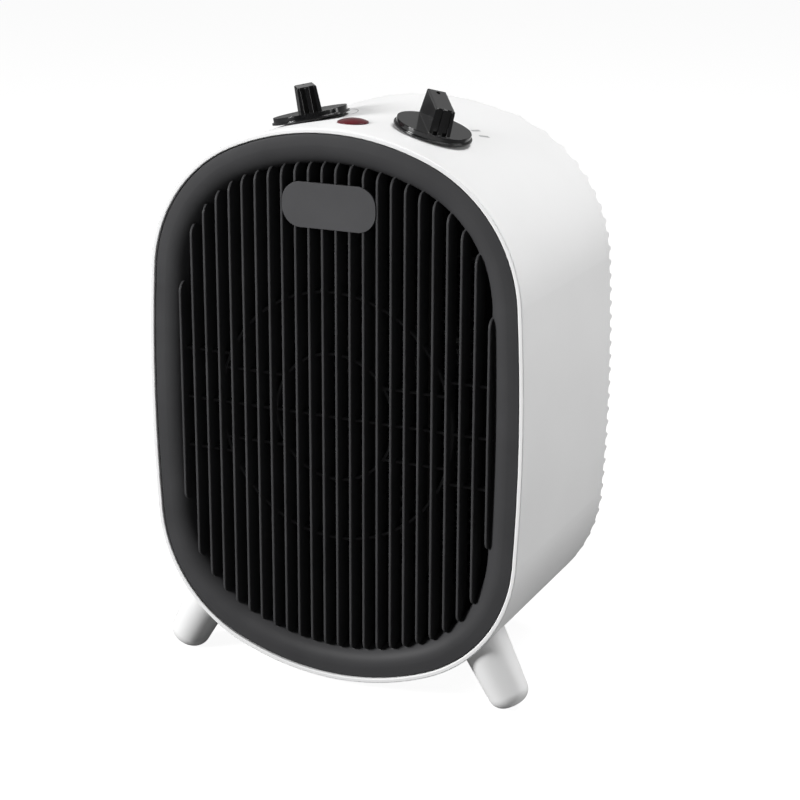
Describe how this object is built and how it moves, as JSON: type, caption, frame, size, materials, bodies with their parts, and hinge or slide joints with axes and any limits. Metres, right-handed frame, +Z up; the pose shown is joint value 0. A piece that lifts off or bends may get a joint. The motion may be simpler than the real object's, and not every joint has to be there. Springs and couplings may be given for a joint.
{
  "type": "ceramic space heater",
  "caption": "Oval free-standing ceramic fan heater with a slatted front grille, crown knobs, leaning front feet and a ribbed rear cover.",
  "frame": {"origin": "centre of the overall box on the floor", "axes": "+X to the right seen from the front, +Y from the grille to the rear cover, +Z up"},
  "size_m": [0.2, 0.1226, 0.2959],
  "materials": {
    "white_shell": "satin white moulding",
    "grille_grey": "satin dark grey moulding",
    "badge_grey": "satin grey plate",
    "knob_black": "gloss black moulding",
    "lens_red": "clear-coated red lens",
    "zinc_steel": "zinc-plated",
    "cutout_aluminium": "plain",
    "motor_steel": "phosphated can",
    "bush_bronze": "sintered",
    "heat_plastic": "matt heat-proof moulding",
    "fan_plastic": "satin moulding",
    "control_plastic": "matt moulding",
    "black_rubber": "matt",
    "ptc_ceramic": "fired",
    "fin_aluminium": "blackened sheet"
  },
  "bodies": {
    "housing": {"badge_plate": "badge_grey", "body_shell": "white_shell", "bracket_screws": "zinc_steel", "ceramic_bar_1": "ptc_ceramic", "ceramic_bar_2": "ptc_ceramic", "ceramic_bar_3": "ptc_ceramic", "ceramic_bar_4": "ptc_ceramic", "cord_gland": "black_rubber", "duct_screws": "zinc_steel", "fan_duct": "heat_plastic", "fin_strip_1": "fin_aluminium", "fin_strip_2": "fin_aluminium", "fin_strip_3": "fin_aluminium", "fin_strip_4": "fin_aluminium", "fin_strip_5": "fin_aluminium", "front_foot_left": "white_shell", "front_foot_right": "white_shell", "front_foot_screws": "zinc_steel", "front_grille": "grille_grey", "grille_screws": "zinc_steel", "heater_frame": "heat_plastic", "heater_screws": "zinc_steel", "heater_terminals": "zinc_steel", "indicator_lens": "lens_red", "lamp_holder": "control_plastic", "motor_body": "motor_steel", "motor_bracket": "zinc_steel", "motor_bush_front": "bush_bronze", "motor_bush_rear": "bush_bronze", "motor_screws": "zinc_steel", "rear_cover": "white_shell", "rear_cover_screws": "zinc_steel", "rear_foot": "black_rubber", "switch_body": "control_plastic", "switch_nut": "zinc_steel", "terminal_block": "control_plastic", "thermal_cutout": "cutout_aluminium", "thermostat_body": "control_plastic", "thermostat_nut": "zinc_steel", "tip_switch": "control_plastic"},
    "thermostat_control": {"thermostat_knob": "knob_black", "thermostat_shaft": "zinc_steel"},
    "mode_control": {"mode_knob": "knob_black", "switch_shaft": "zinc_steel"},
    "fan_rotor": {"fan_impeller": "fan_plastic", "motor_shaft": "zinc_steel"}
  },
  "joints": [
    {"name": "thermostat_turn", "type": "hinge", "parent": "housing", "child": "thermostat_control", "pos_m": [-0.0282, -0.0228, 0.27698], "axis": [-0.212, 0, 0.9773], "range_deg": [-160, 110]},
    {"name": "mode_turn", "type": "hinge", "parent": "housing", "child": "mode_control", "pos_m": [0.0358, -0.0228, 0.27509], "axis": [0.2692, 0, 0.9631], "range_deg": [-135, 0]},
    {"name": "fan_spin", "type": "hinge", "parent": "housing", "child": "fan_rotor", "pos_m": [0, 0, 0.139], "axis": [0, 1, 0], "continuous": true}
  ]
}
